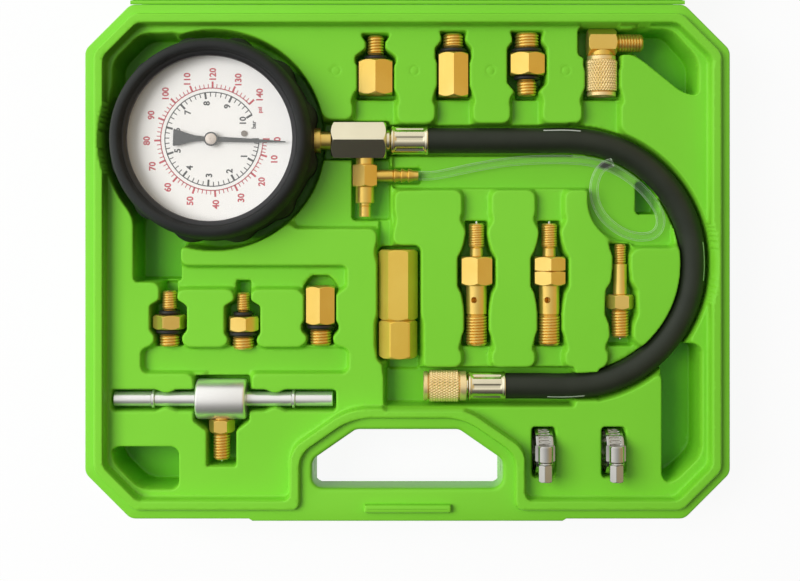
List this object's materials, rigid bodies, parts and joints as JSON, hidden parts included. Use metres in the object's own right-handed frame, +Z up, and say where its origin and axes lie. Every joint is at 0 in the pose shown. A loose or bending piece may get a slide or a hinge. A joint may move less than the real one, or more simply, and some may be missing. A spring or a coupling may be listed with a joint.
{
  "type": "fuel pressure tester kit",
  "caption": "Fuel pressure tester in a hinged green tray case: rubber-booted dial gauge with hose and bleed valve, brass adapters, quick-connect tee and hose clamps.",
  "frame": {"origin": "centre of the underside of the case base, on the table", "axes": "+X to the right of a user who faces the handle side, +Y from the handle to the hinge and on over the open lid, +Z up"},
  "size_m": [0.341, 0.5486, 0.0545],
  "materials": {
    "green_case": "moulded satin",
    "black_rubber": "matt",
    "can_steel": "satin",
    "bezel_black": "satin",
    "lens_clear": "clear",
    "dial_white": "matt print",
    "pointer_black": "matt",
    "brass": "machined",
    "nickel": "plated",
    "pin_steel": "bright",
    "tube_clear": "clear",
    "tee_aluminium": "turned",
    "clamp_steel": "bright"
  },
  "bodies": {
    "base": {"case_base": "green_case", "hinge_web": "green_case"},
    "lid": {"case_lid": "green_case"},
    "gauge_set": {"gauge_boot": "black_rubber", "gauge_can": "can_steel", "gauge_bezel": "bezel_black", "gauge_lens": "lens_clear", "dial_plate": "dial_white", "dial_screws": "brass", "movement_frame": "brass", "bourdon_tube": "brass", "movement_link": "brass", "gauge_socket": "brass", "manifold_block": "nickel", "bleed_body": "brass", "bleed_spring": "pin_steel", "drain_tube": "tube_clear", "hose_stem": "nickel", "block_ferrule": "nickel", "hose": "black_rubber", "coupler_ferrule": "nickel", "coupler_stem": "nickel", "coupler_seal": "black_rubber"},
    "sector": {"sector_gear": "brass"},
    "pointer": {"pointer_shaft": "brass", "pointer": "pointer_black"},
    "bleed_button": {"bleed_button": "brass"},
    "coupler_nut": {"coupler_nut": "brass"},
    "top_adapter_1": {"top_adapter_1": "brass", "top_ring_1": "black_rubber"},
    "top_adapter_2": {"top_adapter_2": "brass", "top_ring_2": "black_rubber"},
    "top_adapter_3": {"top_adapter_3": "brass", "top_rings_3": "black_rubber"},
    "elbow": {"elbow_body": "brass"},
    "elbow_nut": {"elbow_nut": "brass"},
    "left_adapter_1": {"left_adapter_1": "brass", "left_rings_1": "black_rubber"},
    "left_adapter_2": {"left_adapter_2": "brass", "left_rings_2": "black_rubber"},
    "left_adapter_3": {"left_adapter_3": "brass", "left_ring_3": "black_rubber"},
    "coupling": {"coupling_body": "brass"},
    "coupling_nut": {"coupling_nut": "brass"},
    "valve_adapter_1": {"valve_adapter_1": "brass"},
    "valve_pin_1": {"valve_pin_1": "pin_steel"},
    "valve_adapter_2": {"valve_adapter_2": "brass"},
    "valve_pin_2": {"valve_pin_2": "pin_steel"},
    "valve_adapter_3": {"valve_adapter_3": "brass"},
    "valve_pin_3": {"valve_pin_3": "pin_steel"},
    "tee": {"tee_body": "tee_aluminium", "tee_port": "brass"},
    "tee_pin": {"tee_pin": "pin_steel"},
    "clamp_1": {"clamp_band_1": "clamp_steel", "clamp_housing_1": "clamp_steel"},
    "clamp_screw_1": {"clamp_screw_1": "clamp_steel"},
    "clamp_2": {"clamp_band_2": "clamp_steel", "clamp_housing_2": "clamp_steel"},
    "clamp_screw_2": {"clamp_screw_2": "clamp_steel"}
  },
  "joints": [
    {"name": "lid_hinge", "type": "hinge", "parent": "base", "child": "lid", "pos_m": [0, 0.1371, 0.038], "axis": [-1, 0, 0], "range_deg": [-180, 0]},
    {"name": "gauge_set_lift", "type": "slide", "parent": "base", "child": "gauge_set", "axis": [0, 0, 1], "range_m": [0, 0.06]},
    {"name": "sector_turn", "type": "hinge", "parent": "gauge_set", "child": "sector", "pos_m": [-0.103, 0.0465, 0.028], "axis": [0, 0, 1], "range_deg": [0, 39.75]},
    {"name": "pointer_turn", "type": "hinge", "parent": "gauge_set", "child": "pointer", "pos_m": [-0.103, 0.0645, 0.028], "axis": [0, 0, 1], "range_deg": [-318, 0]},
    {"name": "bleed_press", "type": "slide", "parent": "gauge_set", "child": "bleed_button", "axis": [0, 1, 0], "range_m": [0, 0.0025], "stiffness_N_per_m": 400, "deforming": ["bleed_spring"]},
    {"name": "coupler_spin", "type": "hinge", "parent": "gauge_set", "child": "coupler_nut", "pos_m": [0.02, -0.067, 0.028], "axis": [1, 0, 0], "continuous": true},
    {"name": "top_adapter_1_lift", "type": "slide", "parent": "base", "child": "top_adapter_1", "axis": [0, 0, 1], "range_m": [0, 0.04]},
    {"name": "top_adapter_2_lift", "type": "slide", "parent": "base", "child": "top_adapter_2", "axis": [0, 0, 1], "range_m": [0, 0.04]},
    {"name": "top_adapter_3_lift", "type": "slide", "parent": "base", "child": "top_adapter_3", "axis": [0, 0, 1], "range_m": [0, 0.04]},
    {"name": "elbow_lift", "type": "slide", "parent": "base", "child": "elbow", "axis": [0, 0, 1], "range_m": [0, 0.04]},
    {"name": "left_adapter_1_lift", "type": "slide", "parent": "base", "child": "left_adapter_1", "axis": [0, 0, 1], "range_m": [0, 0.04]},
    {"name": "left_adapter_2_lift", "type": "slide", "parent": "base", "child": "left_adapter_2", "axis": [0, 0, 1], "range_m": [0, 0.04]},
    {"name": "left_adapter_3_lift", "type": "slide", "parent": "base", "child": "left_adapter_3", "axis": [0, 0, 1], "range_m": [0, 0.04]},
    {"name": "coupling_lift", "type": "slide", "parent": "base", "child": "coupling", "axis": [0, 0, 1], "range_m": [0, 0.04]},
    {"name": "valve_adapter_1_lift", "type": "slide", "parent": "base", "child": "valve_adapter_1", "axis": [0, 0, 1], "range_m": [0, 0.04]},
    {"name": "valve_adapter_2_lift", "type": "slide", "parent": "base", "child": "valve_adapter_2", "axis": [0, 0, 1], "range_m": [0, 0.04]},
    {"name": "valve_adapter_3_lift", "type": "slide", "parent": "base", "child": "valve_adapter_3", "axis": [0, 0, 1], "range_m": [0, 0.04]},
    {"name": "tee_lift", "type": "slide", "parent": "base", "child": "tee", "axis": [0, 0, 1], "range_m": [0, 0.04]},
    {"name": "clamp_1_lift", "type": "slide", "parent": "base", "child": "clamp_1", "axis": [0, 0, 1], "range_m": [0, 0.04]},
    {"name": "clamp_2_lift", "type": "slide", "parent": "base", "child": "clamp_2", "axis": [0, 0, 1], "range_m": [0, 0.04]},
    {"name": "elbow_nut_spin", "type": "hinge", "parent": "elbow", "child": "elbow_nut", "pos_m": [0.104, 0.1, 0.028], "axis": [0, 1, 0], "continuous": true},
    {"name": "coupling_nut_spin", "type": "hinge", "parent": "coupling", "child": "coupling_nut", "pos_m": [-0.005, -0.04, 0.028], "axis": [0, 1, 0], "continuous": true},
    {"name": "clamp_screw_1_spin", "type": "hinge", "parent": "clamp_1", "child": "clamp_screw_1", "pos_m": [0.0725, -0.1018, 0.0424], "axis": [0, 1, 0], "continuous": true},
    {"name": "clamp_screw_2_spin", "type": "hinge", "parent": "clamp_2", "child": "clamp_screw_2", "pos_m": [0.1098, -0.1018, 0.0424], "axis": [0, 1, 0], "continuous": true},
    {"name": "valve_pin_1_press", "type": "slide", "parent": "valve_adapter_1", "child": "valve_pin_1", "axis": [0, -1, 0], "range_m": [0, 0.0012], "stiffness_N_per_m": 300},
    {"name": "valve_pin_2_press", "type": "slide", "parent": "valve_adapter_2", "child": "valve_pin_2", "axis": [0, -1, 0], "range_m": [0, 0.0012], "stiffness_N_per_m": 300},
    {"name": "valve_pin_3_press", "type": "slide", "parent": "valve_adapter_3", "child": "valve_pin_3", "axis": [0, 1, 0], "range_m": [0, 0.0012], "stiffness_N_per_m": 300},
    {"name": "tee_pin_press", "type": "slide", "parent": "tee", "child": "tee_pin", "axis": [0, 1, 0], "range_m": [0, 0.0012], "stiffness_N_per_m": 300}
  ],
  "couplings": [
    {"joint": "pointer_turn", "follows": "sector_turn", "ratio": -8}
  ]
}
